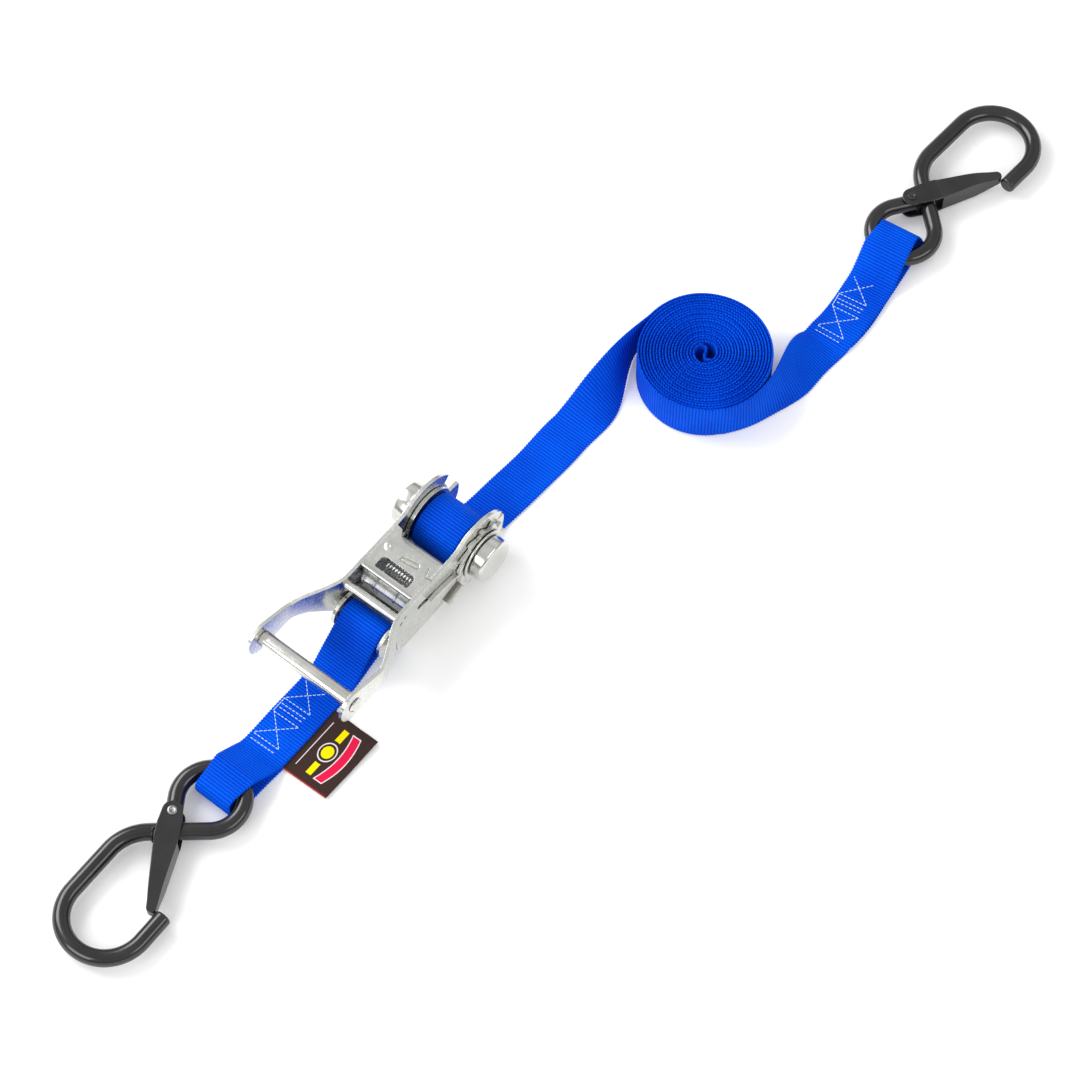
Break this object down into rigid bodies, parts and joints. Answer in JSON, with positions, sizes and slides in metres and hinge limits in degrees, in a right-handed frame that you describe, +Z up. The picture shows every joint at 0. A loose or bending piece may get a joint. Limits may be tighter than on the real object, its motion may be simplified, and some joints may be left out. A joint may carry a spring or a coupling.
{
  "type": "ratchet tie down",
  "caption": "Hand ratchet with a short strap and a long coiled strap of webbing, each ending in a sewn loop with a gated snap hook.",
  "frame": {"origin": "centre of the base frame's flat underside, on the floor that the straps lie on", "axes": "+X along the straps from the ratchet towards the coil, +Y along the spindle, +Z up"},
  "size_m": [0.6902, 0.1327, 0.0469],
  "materials": {
    "zinc": "zinc-plated stamped steel, satin",
    "bright_steel": "bright plated steel",
    "black_coating": "dark grey satin coating",
    "blue_webbing": "woven polyester webbing, cross-ribbed, matt",
    "tag_cloth": "thin woven tag, matt"
  },
  "bodies": {
    "frame": {"base_frame": "zinc", "anchor_bolt": "bright_steel", "anchor_sleeve": "zinc", "lock_pawl_spring": "bright_steel", "long_strap": "blue_webbing"},
    "handle": {"handle_frame": "zinc", "cross_rod": "bright_steel", "grip_tube": "bright_steel", "grip_rod": "bright_steel", "drive_pawl_spring": "bright_steel"},
    "drive_pawl": {"drive_pawl": "zinc"},
    "lock_pawl": {"lock_pawl": "zinc"},
    "spindle": {"spindle_half_upper": "bright_steel", "spindle_half_lower": "bright_steel", "ratchet_wheel_left": "zinc", "ratchet_wheel_right": "zinc", "spindle_washer_left": "zinc", "spindle_washer_right": "zinc", "spindle_cap_left": "bright_steel", "spindle_cap_right": "bright_steel", "webbing_drum": "blue_webbing"},
    "short_strap": {"short_strap": "blue_webbing", "label_tag": "tag_cloth"},
    "hook_a": {"short_strap_eye": "blue_webbing", "hook_wire_a": "black_coating", "gate_rivet_a": "bright_steel", "gate_spring_a": "black_coating"},
    "gate_a": {"gate_a": "black_coating"},
    "hook_b": {"long_strap_eye": "blue_webbing", "hook_wire_b": "black_coating", "gate_rivet_b": "bright_steel", "gate_spring_b": "black_coating"},
    "gate_b": {"gate_b": "black_coating"}
  },
  "joints": [
    {"name": "handle_pivot", "type": "hinge", "parent": "frame", "child": "handle", "pos_m": [0.051, 0, 0.022], "axis": [0, 1, 0], "range_deg": [-3, 160]},
    {"name": "spindle_spin", "type": "hinge", "parent": "frame", "child": "spindle", "pos_m": [0.051, 0, 0.022], "axis": [0, 1, 0], "continuous": true},
    {"name": "drive_pawl_slide", "type": "slide", "parent": "handle", "child": "drive_pawl", "axis": [-0.9877, 0, 0.1564], "range_m": [0, 0.005], "stiffness_N_per_m": 150, "springref_m": -0.004},
    {"name": "lock_pawl_slide", "type": "slide", "parent": "frame", "child": "lock_pawl", "axis": [-0.9646, 0, -0.2639], "range_m": [0, 0.005], "stiffness_N_per_m": 150, "springref_m": -0.004},
    {"name": "short_strap_swing", "type": "hinge", "parent": "frame", "child": "short_strap", "pos_m": [-0.015, 0, 0.0184], "axis": [0, 1, 0], "range_deg": [-60, 10]},
    {"name": "hook_a_swing", "type": "hinge", "parent": "short_strap", "child": "hook_a", "pos_m": [-0.0977, 0, 0.00145], "axis": [0, 1, 0], "range_deg": [-50, 50]},
    {"name": "gate_a_pivot", "type": "hinge", "parent": "hook_a", "child": "gate_a", "pos_m": [-0.1498, 0.0104, 0.0074], "axis": [0, 0, 1], "range_deg": [-24, 0], "stiffness_Nm_per_rad": 0.1, "springref_deg": 17.19},
    {"name": "hook_b_swing", "type": "hinge", "parent": "frame", "child": "hook_b", "pos_m": [0.31756, -0.073, 0.00145], "axis": [-0.1219, 0.9925, 0], "range_deg": [-50, 50]},
    {"name": "gate_b_pivot", "type": "hinge", "parent": "hook_b", "child": "gate_b", "pos_m": [0.36986, -0.06121, 0.0074], "axis": [0, 0, 1], "range_deg": [0, 24], "stiffness_Nm_per_rad": 0.1, "springref_deg": -17.19}
  ]
}
